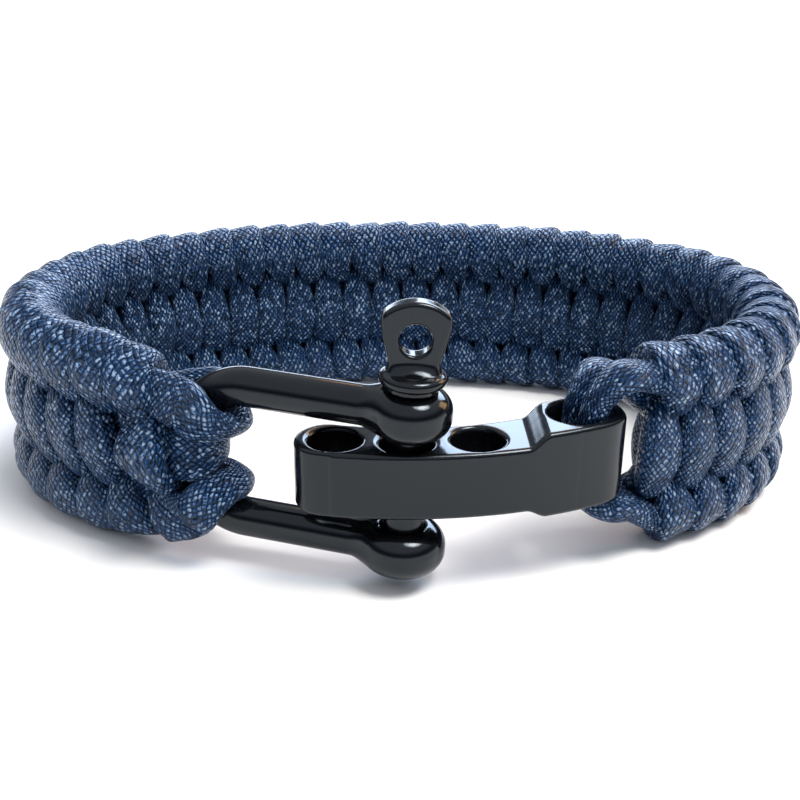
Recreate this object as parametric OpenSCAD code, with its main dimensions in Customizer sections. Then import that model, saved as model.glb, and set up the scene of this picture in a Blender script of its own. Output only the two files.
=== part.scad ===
// Woven cord bracelet closed by a bow shackle and a four-hole adjuster bar.
// It lies on the lower edge of its band: +Z up, +X along the longest side,
// -Y towards the closure, origin under the middle at the level of the lower edge.

/* [Band] */
// Half the length of the band's loop, to the middle of its thickness
loop_half_x = 42.7; // [38:0.1:50]
// Half the width of the band's loop, to the middle of its thickness
loop_half_y = 24.9; // [22:0.1:32]
// How square the loop is, where 2 is an ellipse
loop_squareness = 2.16; // [2:0.01:2.5]
// Height of the band, from edge to edge
band_h = 23; // [20:0.5:28]
// Thickness of the band over its lumps
band_t = 7; // [6:0.1:9]
// Length of one lump of the weave along the band
lump_pitch = 4.1; // [3.5:0.1:5.5]
// Depth of the valleys between the lumps on the faces
lump_depth = 1.15; // [0.4:0.05:1.3]
// Depth of the valleys between the lumps on the two edges
edge_depth = 1; // [0.4:0.05:1.3]
// How far a lump leans along the band for each millimetre down its outer face
lump_lean = 0.2; // [0:0.05:0.5]
// Height of the band at the shackle's end, as a share of its full height
end_narrowing = 0.9; // [0.8:0.01:1]
// Length over which the band narrows to that end
end_run = 5; // [3:0.5:12]

/* [Cord] */
// Width of a cord where it is pressed flat
cord_w = 4.2; // [3.4:0.1:4.8]
// Thickness of a cord where it is pressed flat
cord_t = 3; // [2.4:0.1:3.4]
// Gap between a cord and the metal it goes round
cord_gap = 0.2; // [0.1:0.05:0.4]
// Gap between the cords' ends and the band that they come out of
butt_gap = 0.4; // [0.3:0.05:0.6]
// Thickness of a cord where it leaves the band
start_t = 2.4; // [2:0.1:2.6]
// Distance from the band's end to the bow
leg_room = 2; // [1.6:0.1:3]
// Width of the two cords in the bow's corners, on its inner side
corner_cord_w = 3.2; // [2.8:0.1:3.3]
// Width of the cord between them, on the bow's inner side
middle_cord_w = 2.6; // [2:0.1:2.8]
// Thickness of the cord between them
middle_cord_t = 1.8; // [1.6:0.1:2.2]
// How far round its bend each corner cord lies, in degrees
corner_tilt = 48; // [42:1:54]
// Height of the corner cords where they leave the band, from its middle, as a share
corner_start = 0.35; // [0.3:0.01:0.38]
// Radius of the cords' turn over the rim of their hole, on its inner side
rim_turn_r = 1.3; // [1.2:0.05:1.5]

/* [Shackle] */
// Thickness of the shackle's rod
rod_d = 4.1; // [3.4:0.1:4.6]
// Distance between the middles of the shackle's two arms
arm_spacing = 14.7; // [14.2:0.1:16]
// Length from the pin to the middle of the rod at the bow's base
bow_len = 22.4; // [21.5:0.1:25]
// Radius of the bow's two bends, to the middle of the rod
bend_r = 5.9; // [5.6:0.1:6.4]
// Width of the upper ear
upper_ear_d = 8.2; // [7.6:0.1:9.4]
// Width of the lower ear, which holds the thread
lower_ear_d = 8.8; // [7.6:0.1:9.4]
// Height of each ear
ear_h = 4.8; // [4:0.1:5.4]
// How far the shackle leans sideways, with the pin's head towards the adjuster
shackle_lean = 2.7; // [0:0.1:4]
// Height of the shackle's middle above the surface, as a share of the band's height
shackle_level = 0.495; // [0.48:0.005:0.52]
// How far the pin stands out in front of the band's ends
pin_forward = 7.3; // [6.5:0.1:9]
// How far the bow's base stands out in front of the band's end
bow_forward = 1.4; // [0.4:0.1:2]
// Thickness of the lower ear's floor under the pin
thread_floor = 1.2; // [0.6:0.1:1.6]
// Gap between the pin's end and that floor
shaft_end_gap = 0.3; // [0.1:0.1:0.6]

/* [Pin] */
// Thickness of the pin's shaft
shaft_d = 4.2; // [3.4:0.1:4.4]
// Clearance round the shaft in the ears, on the radius
shaft_clear = 0.05; // [0.02:0.01:0.09]
// Thickness of the neck under the collar
neck_d = 5.2; // [4.6:0.1:6]
// Height of the neck
neck_h = 0.6; // [0.3:0.1:1]
// Width of the collar
collar_d = 6.7; // [6:0.1:8]
// Thickness of the collar
collar_h = 1.2; // [0.8:0.1:1.6]
// Width of the flat head where it meets the collar
head_foot_w = 4.8; // [4:0.1:5.4]
// Width of the flat head at its shoulders
head_w = 7; // [6.2:0.1:8]
// Height of the flat head up to its shoulders
head_shoulder_h = 5.5; // [5:0.1:6.5]
// Height of the flat head
head_h = 7.1; // [6.8:0.1:8]
// Thickness of the flat head
head_t = 2; // [1.4:0.1:2.6]
// Width of the eye through the head
eye_d = 3.4; // [2.6:0.1:3.8]
// Height of the eye's middle above the collar
eye_up = 3.3; // [3:0.1:3.8]

/* [Adjuster] */
// Width of the adjuster bar at the pin
bar_w = 6.8; // [6.6:0.1:7.6]
// Height of the bar along its three adjusting holes
bar_h = 7; // [6:0.1:7.8]
// Height of the thicker end that holds the cords
block_h = 9.2; // [8:0.1:9.6]
// How much lower the thicker end's underside is
block_drop = 0.9; // [0.4:0.1:1.2]
// Height of the bar's underside above the shackle's middle, downwards
bar_below = 2.8; // [2.2:0.1:3.2]
// Radius of the bar's outer side, seen from above
bar_outer_r = 45; // [38:1:60]
// Radius of the bar's inner side, seen from above
bar_inner_r = 31; // [28:1:45]
// Width of the three adjusting holes
hole_d = 5.25; // [5:0.05:5.4]
// Distance between the adjusting holes
hole_pitch = 7; // [6.6:0.1:8]
// Distance from the pin to the hole that holds the cords
cord_hole_x = 17.1; // [16:0.1:19]
// Width of the hole that holds the cords
cord_hole_d = 5.6; // [5.2:0.1:5.9]
// Chamfer at the rim of every hole
rim_chamfer = 0.4; // [0.2:0.05:0.5]
// Radius of the bar's free end
tip_r = 3.6; // [3.4:0.1:4.2]
// Radius of the bar's other end, round the hole that holds the cords
tail_r = 5.1; // [4.6:0.1:5.6]
// Distance from the last adjusting hole to the middle of the free end's round
tip_past = 0.45; // [0.2:0.05:1]
// Distance from the cords' hole back to the start of the slope
block_start = 2.5; // [2:0.1:3]
// Length of the slope between the bar and its thicker end
step_run = 2.2; // [1.5:0.1:3]
// Distance from the bar's thicker end to the band
band_reach = 2.5; // [1.5:0.1:4]

/* [Hidden] */
$fn = 72;
cord_blue = "#2b4369";
gloss_black = "#141416";

// The loop: a point by its angle from the back, and the level line that closes it
function loop_point(a) =
    let (s = sin(a), c = cos(a),
         r = pow(pow(abs(s) / loop_half_x, loop_squareness)
               + pow(abs(c) / loop_half_y, loop_squareness), -1 / loop_squareness))
    [r * s, r * c];
function front_y(x) =
    -loop_half_y * pow(1 - pow(abs(x) / loop_half_x, loop_squareness), 1 / loop_squareness);

// Where the closure meets the band
shackle_mid_z = band_h * shackle_level;
shackle_turn = asin((pin_forward - bow_forward) / bow_len);
shackle_end_x = -(bow_len + rod_d / 2 + leg_room) * cos(shackle_turn);
adjuster_end_x = cord_hole_x + tail_r + band_reach;
end_y = (front_y(shackle_end_x) + front_y(adjuster_end_x)) / 2;
pin_y = end_y - pin_forward;
front_reach = -pin_y + lower_ear_d / 2;
back_reach = loop_half_y + band_t / 2;
middle_shift = (front_reach - back_reach) / 2;

// Places along the band, from the adjuster's end round the back to the shackle's end
first_angle = atan2(adjuster_end_x, front_y(adjuster_end_x));
last_angle = atan2(shackle_end_x, front_y(shackle_end_x));
angle_steps = 160;
angle_list = [for (i = [0:angle_steps]) first_angle + (last_angle - first_angle) * i / angle_steps];
run_list = [for (i = 0, run = 0; i <= angle_steps;
    run = run + (i < angle_steps ? norm(loop_point(angle_list[i + 1]) - loop_point(angle_list[i])) : 0),
    i = i + 1) run];
angle_table = [for (i = [0:angle_steps]) [run_list[i], angle_list[i]]];
band_len = run_list[angle_steps];
function angle_at(run) = lookup(run, angle_table);
function tangent_at(run) =
    let (a = angle_at(run), d = loop_point(a - 0.1) - loop_point(a + 0.1)) d / norm(d);
function outward_at(run) = let (t = tangent_at(run)) [t[1], -t[0]];

// One cross-section of the band, up its outer face: height and half thickness as
// shares, row of lumps (0 lower, 1 middle, 2 upper), depth of its valleys as a share
HEIGHT = 0;
THICK = 1;
ROW = 2;
VALLEY = 3;
section_table = [
    [0.02, 0.50, 0, 0.5],
    [0.09, 0.88, 0, 1.0],
    [0.19, 1.00, 0, 1.0],
    [0.30, 0.72, 0, 0.4],
    [0.39, 0.97, 1, 1.0],
    [0.50, 1.00, 1, 1.0],
    [0.61, 0.97, 1, 1.0],
    [0.70, 0.72, 2, 0.4],
    [0.81, 1.00, 2, 1.0],
    [0.91, 0.88, 2, 1.0],
    [0.98, 0.50, 2, 0.5],
];
row_middle = [0.16, 0.5, 0.84];
outer_offset = [0.25, 0.5, 0];
inner_offset = [0.5, 0, 0.75];
lumps = round(band_len / lump_pitch);
true_pitch = band_len / lumps;
rings_per_lump = 4;
ring_count = lumps * rings_per_lump;
crest_power = 0.7;

// 1 on the crest of a lump and 0 in the valley between two
function crest(run, row, height, side) =
    let (lean = side * lump_lean * (height - row_middle[row]) * band_h,
         offset = side > 0 ? outer_offset[row] : inner_offset[row])
    pow(abs(cos(180 * ((run + lean) / true_pitch - offset))), crest_power);
function ease(x) = let (c = min(max(x, 0), 1)) c * c * (3 - 2 * c);
function narrowing(run) = end_narrowing + (1 - end_narrowing) * ease((band_len - run) / end_run);
function band_place(run, across, height) =
    let (p = loop_point(angle_at(run)), n = outward_at(run))
    [p[0] + n[0] * across, p[1] + n[1] * across,
     band_h / 2 + (height - 0.5) * band_h * narrowing(run)];
function face_point(run, line, side) =
    let (c = crest(run, line[ROW], line[HEIGHT], side))
    band_place(run, side * (line[THICK] * band_t / 2 - lump_depth * line[VALLEY] * (1 - c)), line[HEIGHT]);
function edge_point(run, row) =
    let (c = crest(run, row, row / 2, 1), dip = edge_depth / band_h * (1 - c))
    band_place(run, 0, row == 0 ? dip : 1 - dip);
function band_ring(run) = concat(
    [edge_point(run, 0)],
    [for (line = section_table) face_point(run, line, 1)],
    [edge_point(run, 2)],
    [for (i = [len(section_table) - 1:-1:0]) face_point(run, section_table[i], -1)]);

// A skin over a list of rings that all have as many points, with flat ends
module skin(rings, flip = false) {
    n = len(rings[0]);
    last = len(rings) - 1;
    sides = [for (i = [0:last - 1], j = [0:n - 1], half = [0, 1])
        let (a = i * n + j, b = i * n + (j + 1) % n, c = a + n, d = b + n)
        half == 0 ? [a, b, d] : [a, d, c]];
    ends = [[for (j = [n - 1:-1:0]) j], [for (j = [0:n - 1]) last * n + j]];
    faces = concat(sides, ends);
    polyhedron([for (ring = rings, p = ring) p],
        flip ? [for (f = faces) [for (k = [len(f) - 1:-1:0]) f[k]]] : faces, convexity = 10);
}

// A flat cord through stations of [place, direction across the cord, half width, half thickness]
cord_sides = 10;
function unit(v) = v / norm(v);
function cord_ring(stations, i) =
    let (last = len(stations) - 1,
         along = unit(stations[min(i + 1, last)][0] - stations[max(i - 1, 0)][0]),
         wide = unit(stations[i][1] - along * (stations[i][1] * along)),
         thick = cross(along, wide))
    [for (j = [0:cord_sides - 1]) let (a = 360 * (j + 0.5) / cord_sides)
        stations[i][0] + wide * stations[i][2] * cos(a) + thick * stations[i][3] * sin(a)];
module flat_cord(stations)
    skin([for (i = [0:len(stations) - 1]) cord_ring(stations, i)], flip = true);
function bezier(a, b, c, d, t) =
    a * pow(1 - t, 3) + b * 3 * t * pow(1 - t, 2) + c * 3 * t * t * (1 - t) + d * pow(t, 3);

// The shackle's own frame: the pin along Z through the origin, the bow towards -X
function turn_z(p, a) = [p[0] * cos(a) - p[1] * sin(a), p[0] * sin(a) + p[1] * cos(a), p[2]];
function lean_y(p, a) = [p[0] * cos(a) + p[2] * sin(a), p[1], p[2] * cos(a) - p[0] * sin(a)];
function shackle_dir(p) = lean_y(turn_z(p, -shackle_turn), shackle_lean);
function shackle_place(p) = shackle_dir(p) + [0, pin_y, shackle_mid_z];
module place_shackle()
    translate([0, pin_y, shackle_mid_z]) rotate([0, shackle_lean, 0]) rotate([0, 0, -shackle_turn]) children();

// Cords round the bow. Each comes out of the band in front of the rod, turns round the
// rod's inner side and goes back behind it. tilt is the bend's angle where it lies
leg_steps = 7;
turn_steps = 8;
start_pull = 0.3;
finish_pull = 0.4;
base_half = arm_spacing / 2 - bend_r;
start_off = (band_t - start_t) / 2;
module bow_loop(tilt, rise, thick, inner_w) {
    inward = [cos(tilt), 0, -sin(tilt)];
    rod_dir = shackle_dir([sin(tilt), 0, cos(tilt)]);
    on_rod = [-bow_len + bend_r - bend_r * cos(tilt), 0, sign(tilt) * base_half + bend_r * sin(tilt)];
    off = rod_d / 2 + cord_gap + thick / 2;
    flat_t = tangent_at(band_len);
    end_t = [flat_t[0], flat_t[1], 0];
    turn = [for (i = [0:turn_steps]) let (a = -90 + 180 * i / turn_steps)
        [shackle_place(on_rod + off * (inward * cos(a) + [0, sin(a), 0])), rod_dir,
         (inner_w + (cord_w - inner_w) * abs(sin(a))) / 2, thick / 2]];
    function leg(side, finish) =
        let (start = band_place(band_len, side * start_off, 0.5 + rise) + butt_gap * end_t,
             reach = norm(finish - start))
        [for (i = [0:leg_steps - 1]) let (t = i / leg_steps)
            [bezier(start, start + start_pull * reach * end_t,
                    finish - finish_pull * reach * shackle_dir(inward), finish, t),
             unit([0, 0, 1] * (1 - ease(t)) + rod_dir * ease(t)), cord_w / 2,
             (start_t + (thick - start_t) * t) / 2]];
    back_leg = leg(-1, turn[turn_steps][0]);
    flat_cord(concat(leg(1, turn[0][0]), turn, [for (i = [leg_steps - 1:-1:0]) back_leg[i]]));
}

// The adjuster's own frame: the pin's hole at the origin, the cords' hole towards +X
bar_z = shackle_mid_z - bar_below;
block_z = bar_z - block_drop;
function outer_side(x) = -bar_w / 2 + bar_outer_r - sqrt(pow(bar_outer_r, 2) - x * x);
function inner_side(x) = bar_w / 2 + bar_inner_r - sqrt(pow(bar_inner_r, 2) - x * x);
function bar_middle(x) = (outer_side(x) + inner_side(x)) / 2;
tip_x = -hole_pitch - tip_past;
function slope_at(x) = atan((bar_middle(x + 0.1) - bar_middle(x - 0.1)) / 0.2);
tail_angle = slope_at(cord_hole_x);

// Cords through the last hole, side by side, each round the end wall of the bar
upper_share = 0.84;
lower_share = 0.17;
hole_half_w = 1.2;
hole_half_t = 2;
hole_side = hole_half_w + cord_gap * 0.7;
open_side = (cord_w + cord_gap) / 2;
arc_steps = 4;
gather = 1.7;
arm_steps = 5;
arm_pull = 0.35;
module hole_loop(side, upper_height, lower_height) {
    across = [-sin(tail_angle), cos(tail_angle), 0];
    along = [cos(tail_angle), sin(tail_angle), 0];
    centre = [cord_hole_x, pin_y + bar_middle(cord_hole_x), 0];
    flat_t = tangent_at(0);
    start_dir = -[flat_t[0], flat_t[1], 0];
    bend = cord_t / 2 + rim_turn_r;
    over = block_z + block_h + cord_gap + cord_t / 2;
    under = block_z - cord_gap - cord_t / 2;
    top_arc = [for (i = [0:arc_steps])
        let (share = i / arc_steps, a = 90 * (1 - share), close = min(1, gather * share))
        [centre + across * side * (hole_side + (open_side - hole_side) * (1 - close))
            + along * bend * (1 - cos(a)) + [0, 0, over - bend + bend * sin(a)],
         across, cord_w / 2 + (hole_half_w - cord_w / 2) * close,
         cord_t / 2 + (hole_half_t - cord_t / 2) * share]];
    low_arc = [for (i = [arc_steps:-1:0]) let (up = top_arc[i])
        [[up[0][0], up[0][1], under + over - up[0][2]], up[1], up[2], up[3]]];
    function leg(height, finish, t) =
        let (start = band_place(0, -side * open_side, height) + butt_gap * start_dir,
             pull = arm_pull * norm(start - finish))
        [bezier(start, start + pull * start_dir, finish + pull * along, finish, t),
         across, cord_w / 2, cord_t / 2];
    flat_cord(concat(
        [for (i = [0:arm_steps - 1]) leg(upper_height, top_arc[0][0], i / arm_steps)], top_arc, low_arc,
        [for (i = [arm_steps - 1:-1:0]) leg(lower_height, low_arc[arc_steps][0], i / arm_steps)]));
}

module centred() translate([0, middle_shift, 0]) children();

module woven_band() color(cord_blue) centred()
    skin([for (i = [0:ring_count]) band_ring(band_len * i / ring_count)]);
module upper_shackle_loop() color(cord_blue) centred() bow_loop(corner_tilt, corner_start, cord_t, corner_cord_w);
module middle_shackle_loop() color(cord_blue) centred() bow_loop(0, 0, middle_cord_t, middle_cord_w);
module lower_shackle_loop() color(cord_blue) centred() bow_loop(-corner_tilt, -corner_start, cord_t, corner_cord_w);
module outer_adjuster_loop() color(cord_blue) centred() hole_loop(-1, upper_share, lower_share);
module inner_adjuster_loop() color(cord_blue) centred() hole_loop(1, upper_share, lower_share);

// An ear: a flattened ball, drawn as a profile of short cones
ear_steps = 10;
ear_fullness = 0.75;
module ear(width)
    rotate_extrude() polygon([for (i = [0:ear_steps]) let (a = -90 + 180 * i / ear_steps)
        [width / 2 * pow(cos(a), ear_fullness), ear_h / 2 * sin(a)]]);

module shackle_rod(side) {
    translate([-bow_len + bend_r, 0, side * arm_spacing / 2])
        rotate([0, 90, 0]) cylinder(d = rod_d, h = bow_len - bend_r);
    translate([-bow_len + bend_r, 0, side * base_half]) rotate([90, 0, 0])
        rotate([0, 0, side > 0 ? 90 : 180]) rotate_extrude(angle = 90)
            translate([bend_r, 0]) circle(d = rod_d);
}

module shackle() color(gloss_black) centred() place_shackle() difference() {
    union() {
        for (side = [-1, 1]) shackle_rod(side);
        translate([-bow_len, 0, -base_half]) cylinder(d = rod_d, h = 2 * base_half);
        translate([0, 0, arm_spacing / 2]) ear(upper_ear_d);
        translate([0, 0, -arm_spacing / 2]) ear(lower_ear_d);
    }
    translate([0, 0, -arm_spacing / 2 - ear_h / 2 + thread_floor])
        cylinder(d = shaft_d + 2 * shaft_clear, h = arm_spacing + 2 * ear_h);
}

// Heights along the pin, from the shackle's middle
neck_z = arm_spacing / 2 + ear_h / 2 + shaft_clear;
collar_z = neck_z + neck_h;
head_z = collar_z + collar_h;
shaft_low = -arm_spacing / 2 - ear_h / 2 + thread_floor + shaft_end_gap;
head_round_r = (pow(head_w / 2, 2) + pow(head_h - head_shoulder_h, 2)) / (2 * (head_h - head_shoulder_h));
head_sink = 0.5;
past = 1;
seam = 0.02;

module pin_head() difference() {
    intersection() {
        rotate([90, 0, 0]) translate([0, 0, -head_t / 2]) linear_extrude(head_t) polygon([
            [-head_foot_w / 2, -head_sink], [head_foot_w / 2, -head_sink], [head_foot_w / 2, 0],
            [head_w / 2, head_shoulder_h], [head_w / 2, head_h + past],
            [-head_w / 2, head_h + past], [-head_w / 2, head_shoulder_h], [-head_foot_w / 2, 0]]);
        translate([0, 0, head_h - head_round_r]) rotate([90, 0, 0])
            cylinder(r = head_round_r, h = 2 * head_t, center = true);
    }
    translate([0, 0, eye_up]) rotate([90, 0, 0]) cylinder(d = eye_d, h = 2 * head_t, center = true);
}

module shackle_pin() color(gloss_black) centred()
    translate([0, pin_y, shackle_mid_z]) rotate([0, shackle_lean, 0]) {
        translate([0, 0, shaft_low]) cylinder(d = shaft_d, h = neck_z - shaft_low);
        translate([0, 0, neck_z]) cylinder(d = neck_d, h = neck_h);
        translate([0, 0, collar_z]) cylinder(d = collar_d - collar_h, h = collar_h);
        translate([0, 0, collar_z + collar_h / 2]) rotate_extrude()
            translate([(collar_d - collar_h) / 2, 0]) circle(d = collar_h - seam);
        translate([0, 0, head_z]) pin_head();
    }

// The bar from above, between its two arcs and its two round ends
module bar_outline() {
    intersection() {
        translate([0, bar_outer_r - bar_w / 2, block_z])
            cylinder(r = bar_outer_r, h = block_h, $fn = 240);
        union() {
            translate([tip_x, -bar_w, block_z]) cube([cord_hole_x - tip_x, 4 * bar_w, block_h]);
            translate([tip_x, bar_middle(tip_x), block_z]) cylinder(r = tip_r, h = block_h);
            translate([cord_hole_x, bar_middle(cord_hole_x), block_z]) cylinder(r = tail_r, h = block_h);
        }
    }
}
// The bar from the front: thin along the holes, thicker round the cords
step_x = cord_hole_x - cord_hole_d / 2 - block_start;
module bar_front() {
    top = bar_z + bar_h;
    rotate([90, 0, 0]) translate([0, 0, -5 * bar_w]) linear_extrude(10 * bar_w) polygon([
        [tip_x - 2 * tip_r, bar_z], [step_x, bar_z], [step_x + step_run, block_z],
        [cord_hole_x + 2 * tail_r, block_z], [cord_hole_x + 2 * tail_r, block_z + block_h],
        [step_x + step_run, block_z + block_h], [step_x, top], [tip_x - 2 * tip_r, top]]);
}
module bored_hole(x, width, low, high) translate([x, bar_middle(x), 0]) {
    translate([0, 0, low - past]) cylinder(d = width, h = high - low + 2 * past);
    translate([0, 0, high - rim_chamfer]) cylinder(d1 = width, d2 = width + 4 * rim_chamfer, h = 2 * rim_chamfer);
    translate([0, 0, low - rim_chamfer]) cylinder(d1 = width + 4 * rim_chamfer, d2 = width, h = 2 * rim_chamfer);
}
module adjuster_bar() color(gloss_black) centred() translate([0, pin_y, 0]) difference() {
    intersection() {
        bar_outline();
        bar_front();
    }
    translate([0, bar_inner_r + bar_w / 2, block_z - past])
        cylinder(r = bar_inner_r, h = block_h + 2 * past, $fn = 240);
    for (x = [-hole_pitch, 0, hole_pitch]) bored_hole(x, hole_d, bar_z, bar_z + bar_h);
    bored_hole(cord_hole_x, cord_hole_d, block_z, block_z + block_h);
}

woven_band();
upper_shackle_loop();
middle_shackle_loop();
lower_shackle_loop();
outer_adjuster_loop();
inner_adjuster_loop();
shackle();
shackle_pin();
adjuster_bar();
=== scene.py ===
import math

import bmesh
import bpy
import numpy as np
from mathutils import Matrix, Vector


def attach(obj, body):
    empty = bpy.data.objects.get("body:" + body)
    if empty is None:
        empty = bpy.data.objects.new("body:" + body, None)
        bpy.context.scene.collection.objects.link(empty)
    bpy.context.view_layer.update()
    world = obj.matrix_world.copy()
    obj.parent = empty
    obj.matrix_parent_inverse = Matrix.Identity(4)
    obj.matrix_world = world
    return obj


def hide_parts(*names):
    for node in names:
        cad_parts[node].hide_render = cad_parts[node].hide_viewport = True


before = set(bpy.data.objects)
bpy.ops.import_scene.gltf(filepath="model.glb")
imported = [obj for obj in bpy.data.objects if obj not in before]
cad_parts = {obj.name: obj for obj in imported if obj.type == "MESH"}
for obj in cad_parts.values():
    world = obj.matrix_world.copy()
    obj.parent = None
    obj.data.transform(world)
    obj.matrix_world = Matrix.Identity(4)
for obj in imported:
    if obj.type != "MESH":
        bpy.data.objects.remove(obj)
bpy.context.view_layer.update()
scene = bpy.context.scene
scene.view_settings.view_transform = "Standard"
mm = 0.001


def srgb(code):
    # a "#rrggbb" colour as Blender's linear RGBA
    parts = [int(code[i:i + 2], 16) / 255 for i in (1, 3, 5)]
    return [p / 12.92 if p <= 0.04045 else ((p + 0.055) / 1.055) ** 2.4 for p in parts] + [1.0]


def addNode(tree, kind, inputs=(), **settings):
    # adds one node; its inputs, in order or by name, get a value, or a link from a node or a socket
    made = tree.nodes.new(kind)
    for name, value in settings.items():
        setattr(made, name, value)
    for key, value in inputs.items() if isinstance(inputs, dict) else enumerate(inputs):
        if isinstance(value, bpy.types.Node):
            value = value.outputs[0]
        if isinstance(value, bpy.types.NodeSocket):
            tree.links.new(value, made.inputs[key])
        else:
            made.inputs[key].default_value = value
    return made


# The camera, where the photograph was taken from: about 14 cm away, 24 degrees above the bracelet
# (places in mm, roll in degrees, and a focal length in widths of the picture)
view = {"position": (-3.13, -125.88, 64.22), "target": (0, 2.08, 7.5), "roll": 0.65, "focal": 1142 / 800}


def makeCamera():
    data = bpy.data.cameras.new("camera")
    data.sensor_width = 36
    data.lens = view["focal"] * data.sensor_width
    data.clip_start = 0.005
    data.clip_end = 10
    eye, target = Vector(view["position"]) * mm, Vector(view["target"]) * mm
    forward = (target - eye).normalized()
    right = forward.cross(Vector((0, 0, 1))).normalized()
    up = right.cross(forward)
    roll = math.radians(view["roll"])
    right, up = (right * math.cos(roll) + up * math.sin(roll),
                 up * math.cos(roll) - right * math.sin(roll))
    camera = bpy.data.objects.new("camera", data)
    camera.matrix_world = Matrix((
        (right.x, up.x, -forward.x, eye.x), (right.y, up.y, -forward.y, eye.y),
        (right.z, up.z, -forward.z, eye.z), (0, 0, 0, 1)))
    scene.collection.objects.link(camera)
    scene.camera = camera


makeCamera()
print("camera made")


# The floor, and the light of a plain pale studio: a bright soft ceiling over dim walls, and a soft lamp
studio = {"floor": "#f6f6f5", "floorSize": 12.0, "wall": "#211f1f", "low": "#55657a", "ceiling": "#f7f9ff",
          "paleTop": 0.09, "wallStart": 0.13, "lowTop": 0.34, "ceilingStart": 0.6, "worldStrength": 0.85,
          "lampFrom": (0.4, -0.12, 1.0), "lampPower": 2.55, "lampAngle": 30.0, "paperRoughness": 0.9}
panels = [
    # name, place and target in mm, size in mm, watts, colour
    ("back_cool", (180, 390, 235), (10, -20, 10), (330, 150), 1.7, "#cfe4ff"),
    ("back_warm", (120, 390, 345), (10, -20, 10), (300, 24), 0.32, "#ffb26b"),
    ("back_low", (-30, 420, 92), (0, -20, 16), (300, 70), 0.45, "#d9e9ff"),
    ("key", (165, -85, 405), (0, -20, 10), (120, 95), 0.5, "#fff6ea"),
    ("right_gold", (355, 150, 185), (0, -20, 14), (150, 170), 0.42, "#ffc98a"),
]


def makeStudio():
    size = studio["floorSize"] / 2
    mesh = bpy.data.meshes.new("floor")
    corners = [(-size, -size, 0), (size, -size, 0), (size, size, 0), (-size, size, 0)]
    mesh.from_pydata(corners, [], [(0, 1, 2, 3)])
    floor = bpy.data.objects.new("floor", mesh)
    scene.collection.objects.link(floor)
    paper = bpy.data.materials.new("matt_white_paper")  # seamless background paper: no gloss, nearly white
    paper.use_nodes = True
    surface = paper.node_tree.nodes["Principled BSDF"]
    surface.inputs["Base Color"].default_value = srgb(studio["floor"])
    surface.inputs["Roughness"].default_value = studio["paperRoughness"]
    mesh.materials.append(paper)
    for name, place, target, extent, power, colour in panels:
        data = bpy.data.lights.new(name, "AREA")
        data.shape = "RECTANGLE"
        data.size, data.size_y = extent[0] * mm, extent[1] * mm
        data.energy = power
        data.color = srgb(colour)[:3]
        lamp = bpy.data.objects.new(name, data)
        lamp.location = Vector(place) * mm
        lamp.rotation_euler = (Vector(place) - Vector(target)).to_track_quat("Z", "Y").to_euler()
        scene.collection.objects.link(lamp)
    data = bpy.data.lights.new("soft_lamp", "SUN")
    data.energy = studio["lampPower"]
    data.angle = math.radians(studio["lampAngle"])
    lamp = bpy.data.objects.new("soft_lamp", data)
    lamp.rotation_euler = Vector(studio["lampFrom"]).to_track_quat("Z", "Y").to_euler()
    scene.collection.objects.link(lamp)
    world = bpy.data.worlds.new("studio")
    world.use_nodes = True
    scene.world = world
    tree = world.node_tree
    tree.nodes.clear()
    direction = addNode(tree, "ShaderNodeTexCoord")
    height = addNode(tree, "ShaderNodeSeparateXYZ", {0: direction.outputs["Generated"]})
    ramp = addNode(tree, "ShaderNodeValToRGB", {0: height.outputs["Z"]})
    stops = ramp.color_ramp.elements
    stops[0].position, stops[0].color = studio["paleTop"], srgb(studio["floor"])
    stops.new(studio["wallStart"]).color = srgb(studio["wall"])
    stops[-1].position, stops[-1].color = studio["ceilingStart"], srgb(studio["ceiling"])
    stops.new(studio["lowTop"]).color = srgb(studio["low"])
    shine = addNode(tree, "ShaderNodeBackground", {0: ramp.outputs[0], 1: studio["worldStrength"]})
    addNode(tree, "ShaderNodeOutputWorld", {0: shine.outputs[0]})


makeStudio()
print("studio made")


# Gloss black lacquer on steel castings: an electrophoretic coat over a tumbled casting. To the eye
# it is nearly black with clear reflections, softened a little by fine ripples in the coat.
lacquerLook = {"colour": "#0a0b0e", "tint": "#e8f6ff", "ior": 1.44, "roughness": (0.1, 0.19),
               "ripplesPerMm": 0.7, "rippleDepth": 0.00006, "rippleStrength": 0.12, "smearsPerMm": 0.26}


def makeLacquer():
    material = bpy.data.materials.new("gloss_black_lacquer")
    material.use_nodes = True
    tree = material.node_tree
    surface = tree.nodes["Principled BSDF"]
    place = addNode(tree, "ShaderNodeTexCoord")
    ripple = addNode(tree, "ShaderNodeTexNoise",
                     {"Vector": place.outputs["Object"], "Scale": lacquerLook["ripplesPerMm"] / mm,
                      "Detail": 2.0, "Roughness": 0.5})
    smear = addNode(tree, "ShaderNodeTexNoise",
                    {"Vector": place.outputs["Object"], "Scale": lacquerLook["smearsPerMm"] / mm,
                     "Detail": 4.0, "Roughness": 0.6})
    smooth, rough = lacquerLook["roughness"]  # over the range that the noise mostly has
    gloss = addNode(tree, "ShaderNodeMapRange",
                    {0: smear.outputs["Fac"], 1: 0.3, 2: 0.75, 3: smooth, 4: rough})
    bump = addNode(tree, "ShaderNodeBump",
                   {"Strength": lacquerLook["rippleStrength"], "Distance": lacquerLook["rippleDepth"],
                    "Height": ripple.outputs["Fac"]})
    tree.links.new(gloss.outputs[0], surface.inputs["Roughness"])
    tree.links.new(bump.outputs[0], surface.inputs["Normal"])
    surface.inputs["Base Color"].default_value = srgb(lacquerLook["colour"])
    surface.inputs["IOR"].default_value = lacquerLook["ior"]
    surface.inputs["Specular Tint"].default_value = srgb(lacquerLook["tint"])
    return material


lacquer = makeLacquer()
print("lacquer made")


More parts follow.
